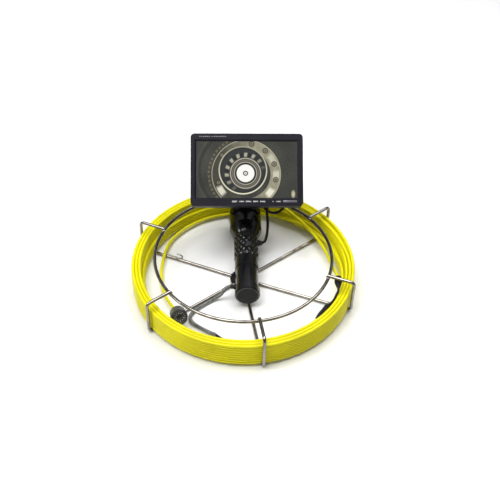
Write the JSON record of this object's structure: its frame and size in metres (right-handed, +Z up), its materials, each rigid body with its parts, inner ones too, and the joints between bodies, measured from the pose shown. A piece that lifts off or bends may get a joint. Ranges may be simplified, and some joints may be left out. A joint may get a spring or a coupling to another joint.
{
  "type": "pipe inspection camera",
  "caption": "Push-rod pipe inspection camera: coiled push cable on a wire storage reel, with a camera head and a torch-shaped handset that carries a tilting monitor.",
  "frame": {"origin": "centre of the reel hub's underside, on the surface the reel rests on", "axes": "+Z up, +Y along the handset from its tail cap to its head, +X to the right of someone who reads the screen"},
  "size_m": [0.34, 0.3489, 0.1839],
  "materials": {
    "chrome": "polished",
    "cable_yellow": "smooth jacket",
    "camera_shell": "fine texture",
    "steel": "satin",
    "lens_glass": "clear",
    "led_white": "clear domes",
    "board": "solder mask",
    "black_rubber": "matte",
    "handle_black": "black anodised",
    "case_black": "moulded satin",
    "key_grey": "moulded",
    "seal_red": "matte",
    "cell_wrap": "shrink wrap",
    "spring_brass": "bright",
    "screen": "display surface",
    "spiral_guard": "spiral wound"
  },
  "bodies": {
    "reel": {"hub_disc": "chrome", "top_ring": "chrome", "reel_arm_1": "chrome", "reel_arm_2": "chrome", "reel_arm_3": "chrome", "reel_arm_4": "chrome", "reel_arm_5": "chrome", "reel_arm_6": "chrome", "strand_hook": "chrome", "push_cable_coil": "cable_yellow", "push_cable_head_run": "cable_yellow", "push_cable_plug_run": "cable_yellow", "camera_strain_relief": "black_rubber", "camera_housing": "camera_shell", "camera_bezel": "camera_shell", "camera_window": "lens_glass", "camera_led_ring": "led_white", "camera_sensor_board": "board", "plug_body": "black_rubber", "pigtail_lead": "black_rubber", "connector_sleeve": "black_rubber", "connector_tail": "black_rubber", "handset_lead": "black_rubber", "lead_spring_guard": "spiral_guard"},
    "plug_ring": {"plug_locking_ring": "black_rubber"},
    "connector_ring": {"connector_nut": "black_rubber"},
    "handset": {"lead_gland": "black_rubber", "handle_tube": "handle_black", "handle_collar": "handle_black", "grip_sleeve": "handle_black", "head_shell": "handle_black", "head_cap": "handle_black", "tail_seal": "seal_red", "battery_cells": "cell_wrap", "handle_board": "board", "charge_socket": "steel", "monitor_lead_gland": "black_rubber", "bracket_saddle": "handle_black", "bracket_post": "handle_black", "tilt_pin": "steel", "monitor_lead": "black_rubber"},
    "end_cap": {"tail_cap": "handle_black", "tail_pad": "black_rubber", "battery_spring": "spring_brass"},
    "button": {"power_button": "key_grey"},
    "cover": {"charge_cover": "black_rubber"},
    "knob": {"tilt_knob": "case_black"},
    "monitor": {"monitor_back": "case_black", "monitor_bezel": "case_black", "lcd_panel": "screen", "monitor_board": "board", "mount_plate": "handle_black", "lead_elbow": "black_rubber", "monitor_screws": "steel"},
    "monitor_key_1_body": {"monitor_key_1": "key_grey"},
    "monitor_key_2_body": {"monitor_key_2": "key_grey"},
    "monitor_key_3_body": {"monitor_key_3": "key_grey"},
    "monitor_key_4_body": {"monitor_key_4": "key_grey"},
    "monitor_key_5_body": {"monitor_key_5": "key_grey"},
    "monitor_power_key_body": {"monitor_power_key": "key_grey"}
  },
  "joints": [
    {"name": "handset_lift", "type": "slide", "parent": "reel", "child": "handset", "axis": [0, 0, 1], "range_m": [0, 0.12]},
    {"name": "monitor_tilt", "type": "hinge", "parent": "handset", "child": "monitor", "pos_m": [0.0054, 0.11743, 0.11856], "axis": [1, 0, 0], "range_deg": [-42, 48]},
    {"name": "knob_turn", "type": "hinge", "parent": "handset", "child": "knob", "pos_m": [-0.0126, 0.11743, 0.11856], "axis": [1, 0, 0], "range_deg": [0, 180]},
    {"name": "tail_cap_turn", "type": "hinge", "parent": "handset", "child": "end_cap", "pos_m": [0.0054, -0.05, 0.026], "axis": [0, 1, 0], "range_deg": [0, 270]},
    {"name": "power_press", "type": "slide", "parent": "handset", "child": "button", "axis": [-0.1736, 0, -0.9848], "range_m": [0, 0.0012], "stiffness_N_per_m": 600},
    {"name": "cover_open", "type": "hinge", "parent": "handset", "child": "cover", "pos_m": [0.0054, 0.0634, 0.0444], "axis": [-1, 0, 0], "range_deg": [0, 100]},
    {"name": "plug_ring_turn", "type": "hinge", "parent": "reel", "child": "plug_ring", "pos_m": [0.1404, -0.042, 0.0508], "axis": [-0.0784, -0.9963, -0.0349], "range_deg": [0, 90]},
    {"name": "connector_ring_turn", "type": "hinge", "parent": "reel", "child": "connector_ring", "pos_m": [0.1308, -0.0586, 0.0084], "axis": [-0.5665, -0.8211, -0.0698], "range_deg": [0, 180]},
    {"name": "monitor_key_1_press", "type": "slide", "parent": "monitor", "child": "monitor_key_1_body", "axis": [0, 0.6691, -0.7431], "range_m": [0, 0.0008], "stiffness_N_per_m": 400},
    {"name": "monitor_key_2_press", "type": "slide", "parent": "monitor", "child": "monitor_key_2_body", "axis": [0, 0.6691, -0.7431], "range_m": [0, 0.0008], "stiffness_N_per_m": 400},
    {"name": "monitor_key_3_press", "type": "slide", "parent": "monitor", "child": "monitor_key_3_body", "axis": [0, 0.6691, -0.7431], "range_m": [0, 0.0008], "stiffness_N_per_m": 400},
    {"name": "monitor_key_4_press", "type": "slide", "parent": "monitor", "child": "monitor_key_4_body", "axis": [0, 0.6691, -0.7431], "range_m": [0, 0.0008], "stiffness_N_per_m": 400},
    {"name": "monitor_key_5_press", "type": "slide", "parent": "monitor", "child": "monitor_key_5_body", "axis": [0, 0.6691, -0.7431], "range_m": [0, 0.0008], "stiffness_N_per_m": 400},
    {"name": "monitor_power_key_press", "type": "slide", "parent": "monitor", "child": "monitor_power_key_body", "axis": [0, 0.6691, -0.7431], "range_m": [0, 0.0008], "stiffness_N_per_m": 400}
  ]
}
